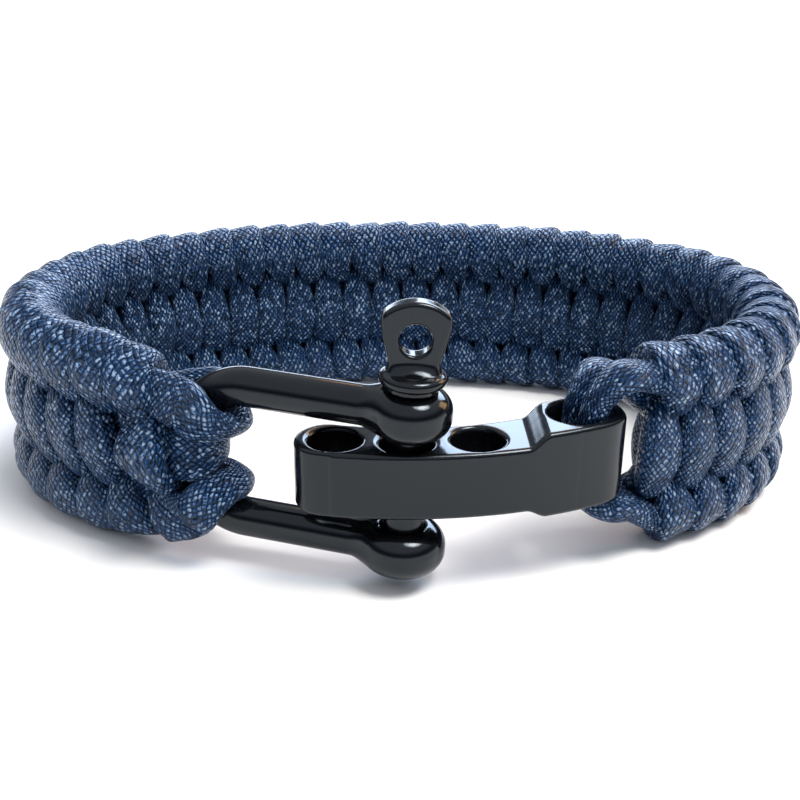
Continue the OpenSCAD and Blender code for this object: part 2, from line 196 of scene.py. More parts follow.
# Rounding and joining of solid shapes that are given by their distance fields, in mm
def joined(a, b, k):
    # the union of two fields with a round fillet of radius k between them
    return np.maximum(k, np.minimum(a, b)) - np.hypot(np.maximum(k - a, 0), np.maximum(k - b, 0))


def shared(a, b, k):
    # the intersection of two fields with an edge of radius k
    return -joined(-a, -b, k)


def cornered(a, b, r):
    # two sides that meet in a corner of radius r, by how far a place lies past the corner's centre
    return np.hypot(np.maximum(a, 0), np.maximum(b, 0)) + np.minimum(np.maximum(a, b), 0) - r


def countTriangles(mesh):
    return sum(len(face.vertices) - 2 for face in mesh.polygons)


def applyModifiers(piece):
    # makes what the piece's modifiers show its plain mesh, and takes them off
    bpy.context.view_layer.update()
    mesh = bpy.data.meshes.new_from_object(piece.evaluated_get(bpy.context.evaluated_depsgraph_get()))
    piece.modifiers.clear()
    piece.data = mesh
    return mesh


# How a skin is drawn onto its field: in how many rounds, the first of which also even out the mesh; the span
# in mm over which the field's slope is read; the farthest move of a round in mm; and the least slope taken
skin = {"rounds": 16, "evenRounds": 12, "evenness": 0.5, "span": 0.02, "farthest": 0.3, "leastSlope": 0.2}


def refine(name, node, field, voxel, body):
    # a fine even skin over a CAD node's copy, drawn onto the zero of the field
    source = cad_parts[node]
    piece = bpy.data.objects.new(name, source.data.copy())
    scene.collection.objects.link(piece)
    shape = bmesh.new()
    shape.from_mesh(piece.data)
    bmesh.ops.remove_doubles(shape, verts=shape.verts, dist=1e-7)
    shape.to_mesh(piece.data)
    shape.free()
    remesh = piece.modifiers.new("remesh", "REMESH")
    remesh.mode = "VOXEL"
    remesh.voxel_size = voxel * mm
    mesh = applyModifiers(piece)
    count = len(mesh.vertices)
    co = np.zeros(count * 3)
    mesh.vertices.foreach_get("co", co)
    co = co.reshape(-1, 3) / mm
    edges = np.zeros(len(mesh.edges) * 2, int)
    mesh.edges.foreach_get("vertices", edges)
    edges = edges.reshape(-1, 2)
    degree = np.bincount(edges.ravel(), minlength=count)[:, None]
    span = skin["span"]
    for turn in range(skin["rounds"]):
        gradient = np.stack([(field(co + span * axis) - field(co - span * axis)) / (2 * span)
                             for axis in np.eye(3)], 1)
        size = (gradient ** 2).sum(1)[:, None]
        reach = field(co)[:, None] / np.maximum(size, skin["leastSlope"])
        co = co - np.clip(reach, -skin["farthest"], skin["farthest"]) * gradient
        if turn < skin["evenRounds"]:
            total = np.zeros_like(co)
            for axis in range(3):
                total[:, axis] = (np.bincount(edges[:, 0], co[edges[:, 1], axis], count)
                                  + np.bincount(edges[:, 1], co[edges[:, 0], axis], count))
            drift = total / degree - co
            normal = gradient / np.sqrt(np.maximum(size, 1e-9))
            co = co + skin["evenness"] * (drift - normal * (drift * normal).sum(1)[:, None])
    mesh.vertices.foreach_set("co", (co * mm).ravel())
    mesh.polygons.foreach_set("use_smooth", np.ones(len(mesh.polygons), bool))
    mesh.update()
    mesh.materials.clear()
    mesh.materials.append(lacquer)
    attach(piece, body)
    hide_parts(node)
    print(name, "made,", countTriangles(mesh), "triangles")


# The closure's own frame, as in the part's source: the pin at the origin, the bow towards -X
closure = {"pinY": -26.08, "midZ": 11.385, "turn": 15.2715, "lean": 2.7}
closurePlace = np.array([0, closure["pinY"], closure["midZ"]])


def turned(p, a):
    a = math.radians(a)
    return np.stack([p[..., 0] * math.cos(a) - p[..., 1] * math.sin(a),
                     p[..., 0] * math.sin(a) + p[..., 1] * math.cos(a), p[..., 2]], -1)


def leant(p, a):
    a = math.radians(a)
    return np.stack([p[..., 0] * math.cos(a) + p[..., 2] * math.sin(a), p[..., 1],
                     p[..., 2] * math.cos(a) - p[..., 0] * math.sin(a)], -1)


def fromClosure(p):
    return leant(turned(p, -closure["turn"]), closure["lean"]) + closurePlace


def toPin(p):
    return leant(p - closurePlace, -closure["lean"])


# The bow shackle, cast in one: a round rod bent to a bow, with a drum-shaped ear at each end. Sizes in mm;
# edges, fillets and rounds here and below are radii.
shackle = {"rod": 4.1, "spacing": 14.7, "length": 22.4, "bend": 5.9, "upperEar": 8.2, "lowerEar": 8.8,
           "earHeight": 4.8, "earRound": 2.1, "bore": 4.3, "floor": 1.2, "fillet": 1.3, "boreEdge": 0.12,
           "voxel": 0.2}


def shackleField(place):
    p = turned(toPin(place), closure["turn"])
    x, y, z = p.T
    half = shackle["spacing"] / 2
    cornerX = -shackle["length"] + shackle["bend"] - x
    cornerZ = abs(z) - (half - shackle["bend"])
    bow = cornered(cornerX, cornerZ, shackle["bend"])
    flat = np.where(x > 0, np.hypot(x, abs(z) - half), abs(bow))
    body = np.hypot(flat, y) - shackle["rod"] / 2
    soft = shackle["earRound"]
    for side, width in ((1, shackle["upperEar"]), (-1, shackle["lowerEar"])):
        across = np.hypot(x, y) - width / 2 + soft
        up = abs(z - side * half) - shackle["earHeight"] / 2 + soft
        body = joined(body, cornered(across, up, soft), shackle["fillet"])
    low = -half - shackle["earHeight"] / 2 + shackle["floor"]
    bore = np.maximum(np.hypot(x, y) - shackle["bore"] / 2, low - z)
    return shared(body, -bore, shackle["boreEdge"])


refine("shackle_lacquered", "shackle", shackleField, shackle["voxel"], "bracelet")


# The screw pin: shaft, neck, rounded collar, a low dome and a flat head with an eye; Into and Sunk say how
# far one form reaches into the next
pin = {"shaft": 4.2, "low": -8.25, "shaftInto": 0.3, "shaftEdge": 0.25,
       "neckZ": 9.8, "neck": 5.2, "neckHeight": 0.6, "neckInto": 0.4, "collar": 6.7, "collarHeight": 1.2,
       "foot": 4.4, "footInto": 0.5, "headWidth": 7.1, "shoulder": 5.4, "headHeight": 7.1,
       "headThickness": 2.0, "eye": 3.15, "eyeUp": 3.4,
       "crownEdge": 0.8, "footEdge": 0.3, "headEdge": 0.45, "eyeEdge": 0.3,
       "collarFillet": 0.15, "domeFillet": 0.15, "footFillet": 0.9,
       "domeWidth": 5.3, "domeRise": 0.95, "domeSunk": 0.4, "voxel": 0.15}


def pinField(place):
    x, y, z = toPin(place).T
    across = np.hypot(x, y)
    ends = np.maximum(pin["low"] - z, z - pin["neckZ"] - pin["shaftInto"])
    shaft = shared(across - pin["shaft"] / 2, ends, pin["shaftEdge"])
    neckHalf = (pin["neckHeight"] + pin["neckInto"]) / 2
    neck = np.maximum(across - pin["neck"] / 2, abs(z - pin["neckZ"] - neckHalf) - neckHalf)
    collarMid = pin["neckZ"] + pin["neckHeight"] + pin["collarHeight"] / 2
    soft = pin["collarHeight"] / 2
    ring = across - pin["collar"] / 2 + soft
    up = abs(z - collarMid)
    collar = np.where(ring > 0, np.hypot(ring, up), up) - soft
    collar = np.maximum(collar, ring - soft)
    # the flat head: sides that widen to the shoulder, and a round crown over them
    h = z - (pin["neckZ"] + pin["neckHeight"] + pin["collarHeight"])
    wide = (pin["headWidth"] - pin["foot"]) / 2
    slant = math.hypot(wide, pin["shoulder"])
    sides = (abs(x) - pin["foot"] / 2 - wide * h / pin["shoulder"]) * pin["shoulder"] / slant
    rise = pin["headHeight"] - pin["shoulder"]
    radius = ((pin["headWidth"] / 2) ** 2 + rise ** 2) / (2 * rise)
    crown = np.hypot(x, h - (pin["headHeight"] - radius)) - radius
    outline = shared(shared(sides, crown, pin["crownEdge"]), -h - pin["footInto"], pin["footEdge"])
    eye = np.hypot(x, h - pin["eyeUp"]) - pin["eye"] / 2
    face = abs(y) - pin["headThickness"] / 2
    head = shared(shared(outline, face, pin["headEdge"]), -eye, pin["eyeEdge"])
    dome = np.hypot(across / pin["domeWidth"] * 2, (h + pin["domeSunk"]) / pin["domeRise"]) - 1
    body = joined(np.minimum(shaft, neck), collar, pin["collarFillet"])
    body = joined(body, dome * pin["domeRise"], pin["domeFillet"])
    return joined(body, head, pin["footFillet"])


refine("shackle_pin_lacquered", "shackle_pin", pinField, pin["voxel"], "pin")


# The adjuster bar, between two arcs in plan, with three adjusting holes and a thicker block for the cords
bar = {"width": 6.8, "height": 7.0, "blockHeight": 9.2, "blockDrop": 0.9, "z": 8.585,
       "outerR": 45.0, "innerR": 31.0, "hole": 5.25, "pitch": 7.0, "cordHoleX": 17.1, "cordHole": 5.6,
       "tipX": -7.45, "tipR": 3.6, "tailR": 5.1, "stepX": 11.8, "stepRun": 2.2,
       "sideEdge": 0.3, "tipEdge": 0.6, "tailEdge": 1.1, "edge": 0.5, "holeEdge": 0.55, "voxel": 0.2}


def barMiddle(x):
    outer = -bar["width"] / 2 + bar["outerR"] - math.sqrt(bar["outerR"] ** 2 - x * x)
    inner = bar["width"] / 2 + bar["innerR"] - math.sqrt(bar["innerR"] ** 2 - x * x)
    return (outer + inner) / 2


def barField(place):
    x, y, z = (place - np.array([0, closure["pinY"], 0])).T
    outer = np.hypot(x, y - bar["outerR"] + bar["width"] / 2) - bar["outerR"]
    inner = bar["innerR"] - np.hypot(x, y - bar["innerR"] - bar["width"] / 2)
    deep = -9.0  # where an end's round plays no part, its field lies deep inside the bar
    tip = np.hypot(x - bar["tipX"], y - barMiddle(bar["tipX"])) - bar["tipR"]
    tail = np.hypot(x - bar["cordHoleX"], y - barMiddle(bar["cordHoleX"])) - bar["tailR"]
    plan = shared(outer, inner, bar["sideEdge"])
    plan = shared(plan, np.where(x < bar["tipX"], tip, deep), bar["tipEdge"])
    plan = shared(plan, np.where(x > bar["cordHoleX"], tail, deep), bar["tailEdge"])
    run = np.clip((x - bar["stepX"]) / bar["stepRun"], 0, 1)
    ease = run * run * (3 - 2 * run)
    low = bar["z"] - bar["blockDrop"] * ease
    high = bar["z"] + bar["height"] + (bar["blockHeight"] - bar["height"] - bar["blockDrop"]) * ease
    body = shared(plan, np.maximum(low - z, z - high), bar["edge"])
    for middle, width in ((-bar["pitch"], bar["hole"]), (0, bar["hole"]), (bar["pitch"], bar["hole"]),
                          (bar["cordHoleX"], bar["cordHole"])):
        bore = width / 2 - np.hypot(x - middle, y - barMiddle(middle))
        body = shared(body, bore, bar["holeEdge"])
    return body


refine("adjuster_bar_lacquered", "adjuster_bar", barField, bar["voxel"], "bracelet")


# The band's own mid-line, a squared oval with its gap in front, as in the part's source
band = {"halfX": 42.7, "halfY": 24.9, "squareness": 2.16, "height": 23.0, "thick": 7.0, "pitch": 4.1,
        "shift": 2.08019, "adjusterEndX": 24.7, "shackleEndX": -25.516, "narrow": 0.9, "narrowRun": 5.0,
        "lineStep": 0.05}


def loopPoint(a):
    s, c = np.sin(a), np.cos(a)
    n = band["squareness"]
    r = ((abs(s) / band["halfX"]) ** n + (abs(c) / band["halfY"]) ** n) ** (-1 / n)
    return np.stack([r * s, r * c + band["shift"]], -1)


def frontY(x):
    n = band["squareness"]
    return -band["halfY"] * (1 - (abs(x) / band["halfX"]) ** n) ** (1 / n)


def makeLine():
    # even places along the band's mid-line, each with its run, its spot and its direction
    first = math.atan2(band["adjusterEndX"], frontY(band["adjusterEndX"]))
    last = math.atan2(band["shackleEndX"], frontY(band["shackleEndX"]))
    fine = loopPoint(np.linspace(first, last, 6001))
    run = np.concatenate([[0], np.cumsum(np.linalg.norm(np.diff(fine, axis=0), axis=1))])
    length = run[-1]
    even = np.arange(0, length, band["lineStep"])
    spots = np.stack([np.interp(even, run, fine[:, i]) for i in (0, 1)], 1)
    dirs = np.gradient(spots, axis=0)
    dirs /= np.linalg.norm(dirs, axis=1)[:, None]
    return even, spots, dirs, length


lineRun, lineSpots, lineDirs, bandLength = makeLine()
lumpCount = round(bandLength / band["pitch"])
pitch = bandLength / lumpCount


def along(s):
    # the band's mid-line at s: place, direction and outward direction; straight on past its ends
    inside = np.clip(s, lineRun[0], lineRun[-1])
    spot = np.stack([np.interp(inside, lineRun, lineSpots[:, i]) for i in (0, 1)], -1)
    way = np.stack([np.interp(inside, lineRun, lineDirs[:, i]) for i in (0, 1)], -1)
    way /= np.linalg.norm(way, axis=-1)[..., None]
    spot = spot + way * (s - inside)[..., None]
    return spot, way, np.stack([way[..., 1], -way[..., 0]], -1)


def bandPlace(s, out, height):
    # a place by its run along the band, its distance outwards and its height
    s, out, height = (np.asarray(v, float) for v in (s, out, height))
    spot, _, outward = along(s)
    share = np.clip((bandLength - s) / band["narrowRun"], 0, 1)
    tall = band["narrow"] + (1 - band["narrow"]) * share * share * (3 - 2 * share)
    z = band["height"] / 2 + (height - band["height"] / 2) * tall
    return np.concatenate([spot + outward * out[..., None], z[..., None]], -1)


# One turn of the weaving cord, from the rim down and up again: run in pitches, distance outwards,
# height, half width and half thickness in mm, squareness of its section (0 is an oval) and tilt in degrees
weave = {
    "turn": [
        (0.00, 0.00, 21.50, 2.46, 1.45, 0.085, 9), (0.03, 1.50, 20.80, 2.46, 1.42, 0.085, 9),
        (0.10, 2.22, 18.90, 2.38, 1.52, 0.05, 7), (0.19, 1.50, 16.85, 1.70, 1.50, 0.035, 3),
        (0.25, 0.00, 15.95, 1.20, 1.65, 0.02, 0), (0.25, -1.45, 15.05, 1.70, 1.50, 0.035, 0),
        (0.25, -2.28, 11.50, 2.30, 1.56, 0.035, 0), (0.25, -1.50, 8.10, 2.20, 1.50, 0.035, 0),
        (0.25, 0.00, 7.05, 1.45, 1.50, 0.02, 0), (0.29, 1.50, 6.15, 1.70, 1.50, 0.035, 3),
        (0.37, 2.22, 4.10, 2.38, 1.52, 0.05, 7), (0.47, 1.50, 2.20, 2.46, 1.42, 0.085, 9),
        (0.50, 0.00, 1.50, 2.46, 1.45, 0.085, 9), (0.53, -1.50, 2.20, 2.46, 1.42, 0.085, 9),
        (0.62, -2.22, 4.10, 2.38, 1.52, 0.05, 7), (0.71, -1.50, 6.15, 1.70, 1.50, 0.035, 3),
        (0.75, 0.00, 7.05, 1.20, 1.65, 0.02, 0), (0.75, 1.45, 7.95, 1.70, 1.50, 0.035, 0),
        (0.75, 2.28, 11.50, 2.30, 1.56, 0.035, 0), (0.75, 1.45, 15.05, 1.70, 1.50, 0.035, 0),
        (0.75, 0.00, 15.95, 1.20, 1.65, 0.02, 0), (0.80, -1.50, 16.85, 1.70, 1.50, 0.035, 3),
        (0.89, -2.22, 18.90, 2.38, 1.52, 0.05, 7), (0.97, -1.50, 20.80, 2.46, 1.42, 0.085, 9)],
    "phase": -0.25, "step": 0.32, "pieces": 3,
    "seed": 5, "wander": 0.12, "wanderUp": 0.6,  # mm by which the lumps stray, and the share of it in height
    "lowest": 1.52,  # mm, so that no lump reaches below what the band lies on
    "first": 14, "last": 11,  # the rows of the first and last turn where the cord comes in and goes out
    # ends tucked into the band: run from the first or last row, distance outwards and height
    "tuckIn": [(2.5, 0.0, 9.5), (1.3, -1.0, 6.5)],
    "tuckOut": [(-1.2, 0.9, 3.4), (-2.4, 0.3, 6.5)],
    # towards the shackle the lumps lean: fully between two heights, and by a share above and below
    "endLean": 0.3, "leanRun": 45, "leanFrom": 7, "leanTo": 16, "outerLean": 0.35,
    # the last lump of the middle row, by its rows, lies wide and proud over the legs of the loops
    "endRows": (17, 18, 19), "endShift": 2.2, "endWidth": 1.55, "endOut": 1.5, "endTilt": 20,
    "endRim": 1.5, "endRimFrom": 8,  # the last rim lump moves on, more with each row after this one
    "startShift": -1.3, "startRun": 16,  # at the bar's end the first lumps are pulled back towards the bar
}


def smoothPath(points, step):
    # Catmull-Rom through the rows of points, then rows an even step apart by their first three columns
    points = np.asarray(points, float)
    padded = np.vstack([2 * points[0] - points[1], points, 2 * points[-1] - points[-2]])
    t = np.linspace(0, 1, 12, endpoint=False)[:, None]  # fine steps from one row to the next
    rows = []
    for i in range(len(points) - 1):
        a, b, c, d = padded[i:i + 4]
        rows.append(0.5 * (2 * b + (c - a) * t + (2 * a - 5 * b + 4 * c - d) * t ** 2
                           + (3 * b - a - 3 * c + d) * t ** 3))
    rows = np.vstack(rows + [points[-1:]])
    run = np.concatenate([[0], np.cumsum(np.linalg.norm(np.diff(rows[:, :3], axis=0), axis=1))])
    even = np.linspace(0, run[-1], max(3, int(round(run[-1] / step)) + 1))
    return np.stack([np.interp(even, run, rows[:, i]) for i in range(rows.shape[1])], 1), even


def weaveStations():
    # the weaving cord's stations: place, direction across, half width and thickness, squareness, tilt
    chance = np.random.default_rng(weave["seed"])
    rows = []
    for k in range(lumpCount + 1):
        for i, (run, out, height, wide, thick, square, tilt) in enumerate(weave["turn"]):
            shift = weave["wander"] * chance.normal(0, 1, 3)  # along and up; the third is spare
            if (k == 0 and i < weave["first"]) or (k == lumpCount and i > weave["last"]):
                continue
            s = (k + run + weave["phase"]) * pitch + shift[0]
            near = np.clip(1 - (bandLength - s) / weave["leanRun"], 0, 1)
            share = 1 if weave["leanFrom"] < height < weave["leanTo"] else weave["outerLean"]
            s += weave["endLean"] * near * (band["height"] / 2 - height) * share
            s += weave["startShift"] * np.clip(1 - s / weave["startRun"], 0, 1)
            if k == lumpCount - 1 and i in weave["endRows"]:
                s += weave["endShift"]
                wide *= weave["endWidth"]
                tilt = weave["endTilt"]
                if i == weave["endRows"][1]:
                    out += weave["endOut"]
            if k == lumpCount and i > weave["endRimFrom"]:
                s += weave["endRim"] * (i - weave["endRimFrom"]) / (weave["last"] - weave["endRimFrom"])
            height = max(height + shift[1] * weave["wanderUp"], weave["lowest"])
            rows.append((s, out, height, wide, thick, square, tilt))
    first, last = rows[0], rows[-1]
    rows = ([(first[0] + run, out, height, *first[3:]) for run, out, height in weave["tuckIn"]] + rows
            + [(last[0] + run, out, height, *last[3:]) for run, out, height in weave["tuckOut"]])
    s, out, height, wide, thick, square, tilt = np.array(rows).T
    place = bandPlace(s, out, height)
    # on the outside of a bend the lumps are stretched, on the inside they are squeezed
    side = band["thick"] / 2 * np.sign(out)
    stretch = np.linalg.norm(bandPlace(s + 0.5, side, height) - bandPlace(s - 0.5, side, height), axis=1)
    across = np.concatenate([along(s)[1], np.zeros((len(s), 1))], 1)
    return smoothPath(np.column_stack([place, across, wide * stretch, thick, square, tilt]), weave["step"])


# The cord's braid: floats of yarn in diamonds round the sheath. They are 0.7 mm long, a little coarser
# than the photograph's, so that they show. The lattice wavers, and each float leans a little its own way.
braid = {"columns": 20, "row": 0.7, "sides": 40, "evenOut": 0.24, "bump": 0.0002, "lean": 2.0,
         "waver": 0.85, "waversPerMm": 0.9, "sideRound": 0.8, "endRound": 0.4}


def makeSweep():
    # Geometry Nodes: a line of stations becomes a flattened cord
    tree = bpy.data.node_groups.new("braided_cord", "GeometryNodeTree")
    for name, way, kind in (("Geometry", "INPUT", "NodeSocketGeometry"),
                            ("Sides", "INPUT", "NodeSocketInt"),
                            ("Material", "INPUT", "NodeSocketMaterial"),
                            ("Geometry", "OUTPUT", "NodeSocketGeometry")):
        tree.interface.new_socket(name, in_out=way, socket_type=kind)
    given = addNode(tree, "NodeGroupInput").outputs
    line = addNode(tree, "GeometryNodeMeshToCurve", {"Mesh": given["Geometry"]})
    ring = addNode(tree, "GeometryNodeCurvePrimitiveCircle", {"Resolution": given["Sides"], "Radius": 1.0})
    ring = addNode(tree, "GeometryNodeStoreNamedAttribute",
                   {"Geometry": ring, "Name": "around", "Value": addNode(tree, "GeometryNodeInputPosition")},
                   data_type="FLOAT_VECTOR", domain="POINT")
    tube = addNode(tree, "GeometryNodeCurveToMesh", {"Curve": line, "Profile Curve": ring, "Fill Caps": True})
    stored = {}
    for kind, names in (("FLOAT_VECTOR", ("around", "across", "upward", "centre")),
                        ("FLOAT", ("halfWidth", "halfThick", "squareness"))):
        for name in names:
            stored[name] = addNode(tree, "GeometryNodeInputNamedAttribute", {"Name": name}, data_type=kind)
    # the ring made squarer: v - q (4 v v v - 3 v), for the circle's cosine and sine at once
    around = stored["around"]
    square = addNode(tree, "ShaderNodeVectorMath", (around, around), operation="MULTIPLY")
    triple = addNode(tree, "ShaderNodeVectorMath", (square, (4, 4, 4), (-3, -3, -3)),
                     operation="MULTIPLY_ADD")
    triple = addNode(tree, "ShaderNodeVectorMath", (triple, around), operation="MULTIPLY")
    triple = addNode(tree, "ShaderNodeVectorMath", {0: triple, "Scale": stored["squareness"]},
                     operation="SCALE")
    ovalled = addNode(tree, "ShaderNodeVectorMath", (around, triple), operation="SUBTRACT")
    less = addNode(tree, "ShaderNodeMath", (1.0, stored["squareness"]), operation="SUBTRACT")
    amounts = addNode(tree, "ShaderNodeSeparateXYZ", (ovalled,)).outputs
    place = stored["centre"]
    for way, amount, half in (("across", amounts["X"], "halfWidth"), ("upward", amounts["Y"], "halfThick")):
        size = addNode(tree, "ShaderNodeMath", (stored[half], less), operation="DIVIDE")
        size = addNode(tree, "ShaderNodeMath", (size, mm), operation="MULTIPLY")
        size = addNode(tree, "ShaderNodeMath", (size, amount), operation="MULTIPLY")
        part = addNode(tree, "ShaderNodeVectorMath", {0: stored[way], "Scale": size}, operation="SCALE")
        place = addNode(tree, "ShaderNodeVectorMath", (place, part), operation="ADD")
    moved = addNode(tree, "GeometryNodeSetPosition", {"Geometry": tube, "Position": place})
    for name in ("across", "upward", "centre", "halfWidth", "halfThick", "squareness"):
        moved = addNode(tree, "GeometryNodeRemoveAttribute", {"Geometry": moved, "Name": name})
    smooth = addNode(tree, "GeometryNodeSetShadeSmooth", {"Geometry": moved})
    real = addNode(tree, "GeometryNodeRealizeInstances", {"Geometry": smooth})
    done = addNode(tree, "GeometryNodeSetMaterial", {"Geometry": real, "Material": given["Material"]})
    addNode(tree, "NodeGroupOutput", (done,))
    return tree


cordSweep = makeSweep()


# Nylon paracord, a braided sheath of 32 twisted yarns dyed navy. To the eye it is a deep blue that breaks
# into small pale flecks where the yarns face the light, with dark lines where they dive. Both are painted
# into
# the colour as well: the gap colour is painted shade in the dives, the crest colour a painted highlight on
# each float.
cordLook = {"gap": "#02060f", "yarn": "#143a68", "crest": "#8fa5bb", "gapShadeAt": 0.12, "yarnAt": 0.5,
            "roughness": 0.29, "specular": 0.62, "tint": "#9cc3f2",
            "unevenness": 1.25, "unevenShare": 0.66, "twistsPerMm": 3.8, "twistTone": (0.6, 1.3)}


def makeCordMaterial():
    material = bpy.data.materials.new("navy_braided_nylon")
    material.use_nodes = True
    tree = material.node_tree
    surface = tree.nodes["Principled BSDF"]
    around = addNode(tree, "ShaderNodeAttribute", attribute_name="around").outputs["Vector"]
    around = addNode(tree, "ShaderNodeSeparateXYZ", (around,)).outputs
    alongMm = addNode(tree, "ShaderNodeAttribute", attribute_name="alongMm").outputs["Fac"]
    # the angle round the cord, corrected so that the floats are as wide on a flattened cord's flanks
    angle = addNode(tree, "ShaderNodeMath", (around["Y"], around["X"]), operation="ARCTAN2")
    product = addNode(tree, "ShaderNodeMath", (around["X"], around["Y"]), operation="MULTIPLY")
    angle = addNode(tree, "ShaderNodeMath", (product, -braid["evenOut"], angle), operation="MULTIPLY_ADD")
    column = addNode(tree, "ShaderNodeMath", (angle, braid["columns"] / math.tau), operation="MULTIPLY")
    row = addNode(tree, "ShaderNodeMath", (alongMm, braid["row"]), operation="DIVIDE")
    lattice = addNode(tree, "ShaderNodeCombineXYZ",
                      (addNode(tree, "ShaderNodeMath", (column, row), operation="ADD"),
                       addNode(tree, "ShaderNodeMath", (column, row), operation="SUBTRACT")))
    place = addNode(tree, "ShaderNodeTexCoord").outputs["Object"]
    waver = addNode(tree, "ShaderNodeTexNoise",
                    {"Vector": place, "Scale": braid["waversPerMm"] / mm, "Detail": 1.0}).outputs["Color"]
    lattice = addNode(tree, "ShaderNodeVectorMath", (waver, (braid["waver"],) * 3, lattice),
                      operation="MULTIPLY_ADD")
    cell = addNode(tree, "ShaderNodeVectorMath", (lattice,), operation="FLOOR")
    local = addNode(tree, "ShaderNodeVectorMath", (lattice,), operation="FRACTION")
    chance = addNode(tree, "ShaderNodeTexWhiteNoise", {"Vector": cell}, noise_dimensions="2D").outputs
    # each float is a rounded ridge along one of the two ways of the lattice, by turns
    rest = addNode(tree, "ShaderNodeVectorMath", ((1, 1, 1), local), operation="SUBTRACT")
    ridge = addNode(tree, "ShaderNodeVectorMath", (local, rest), operation="MULTIPLY")
    ridge = addNode(tree, "ShaderNodeVectorMath", (ridge, (4, 4, 4)), operation="MULTIPLY")
    ridge = addNode(tree, "ShaderNodeSeparateXYZ", (ridge,)).outputs
    turn = addNode(tree, "ShaderNodeVectorMath", (cell, (0.5, 0.5, 0)), operation="DOT_PRODUCT")
    turn = addNode(tree, "ShaderNodeMath", (turn.outputs["Value"],), operation="FRACT")
    turn = addNode(tree, "ShaderNodeMath", (turn, 2.0), operation="MULTIPLY")
    narrow = addNode(tree, "ShaderNodeMix", {0: turn, 2: ridge["X"], 3: ridge["Y"]})
    lengthwise = addNode(tree, "ShaderNodeMix", {0: turn, 2: ridge["Y"], 3: ridge["X"]})
    narrow = addNode(tree, "ShaderNodeMath", (narrow, braid["sideRound"]), operation="POWER")
    lengthwise = addNode(tree, "ShaderNodeMath", (lengthwise, braid["endRound"]), operation="POWER")
    yarn = addNode(tree, "ShaderNodeMath", (narrow, lengthwise), operation="MULTIPLY")
    # some floats are paler than others
    uneven = addNode(tree, "ShaderNodeMath", (chance["Value"], cordLook["unevenness"]), operation="POWER")
    share = cordLook["unevenShare"]
    tone = addNode(tree, "ShaderNodeMath", (uneven, share, 1 - share), operation="MULTIPLY_ADD")
    tone = addNode(tree, "ShaderNodeMath", (tone, yarn), operation="MULTIPLY")
    # the yarns' twist breaks the floats, and the painted highlights on them, into smaller flecks
    twist = addNode(tree, "ShaderNodeTexNoise",
                    {"Vector": place, "Scale": cordLook["twistsPerMm"] / mm, "Detail": 0.0}).outputs["Fac"]
    dark, pale = cordLook["twistTone"]
    twist = addNode(tree, "ShaderNodeMapRange", {0: twist, 1: 0.3, 2: 0.7, 3: dark, 4: pale})
    tone = addNode(tree, "ShaderNodeMath", (tone, twist), operation="MULTIPLY")
    # painted light and shade: the float's height picks the colour, from painted shade in the dives, through
    # the yarn's navy, to a painted highlight on its crest
    ramp = addNode(tree, "ShaderNodeValToRGB", (tone,))
    stops = ramp.color_ramp.elements
    stops[0].position, stops[0].color = cordLook["gapShadeAt"], srgb(cordLook["gap"])
    stops[1].position, stops[1].color = 1.0, srgb(cordLook["crest"])
    stops.new(cordLook["yarnAt"]).color = srgb(cordLook["yarn"])
    tree.links.new(ramp.outputs[0], surface.inputs["Base Color"])
    # each float also lies at a slightly different angle, so that some of them catch the light
    facing = addNode(tree, "ShaderNodeVectorMath", (chance["Color"], (0.5, 0.5, 0.5)), operation="SUBTRACT")
    spot = addNode(tree, "ShaderNodeVectorMath", (local, (0.5, 0.5, 0)), operation="SUBTRACT")
    lean = addNode(tree, "ShaderNodeVectorMath", (facing, spot), operation="DOT_PRODUCT").outputs["Value"]
    height = addNode(tree, "ShaderNodeMath", (lean, braid["lean"], yarn), operation="MULTIPLY_ADD")
    bump = addNode(tree, "ShaderNodeBump", {"Strength": 1.0, "Distance": braid["bump"], "Height": height})
    tree.links.new(bump.outputs[0], surface.inputs["Normal"])
    surface.inputs["Roughness"].default_value = cordLook["roughness"]
    surface.inputs["Specular IOR Level"].default_value = cordLook["specular"]
    surface.inputs["Specular Tint"].default_value = srgb(cordLook["tint"])
    return material


cordMaterial = makeCordMaterial()
print("braided nylon made")


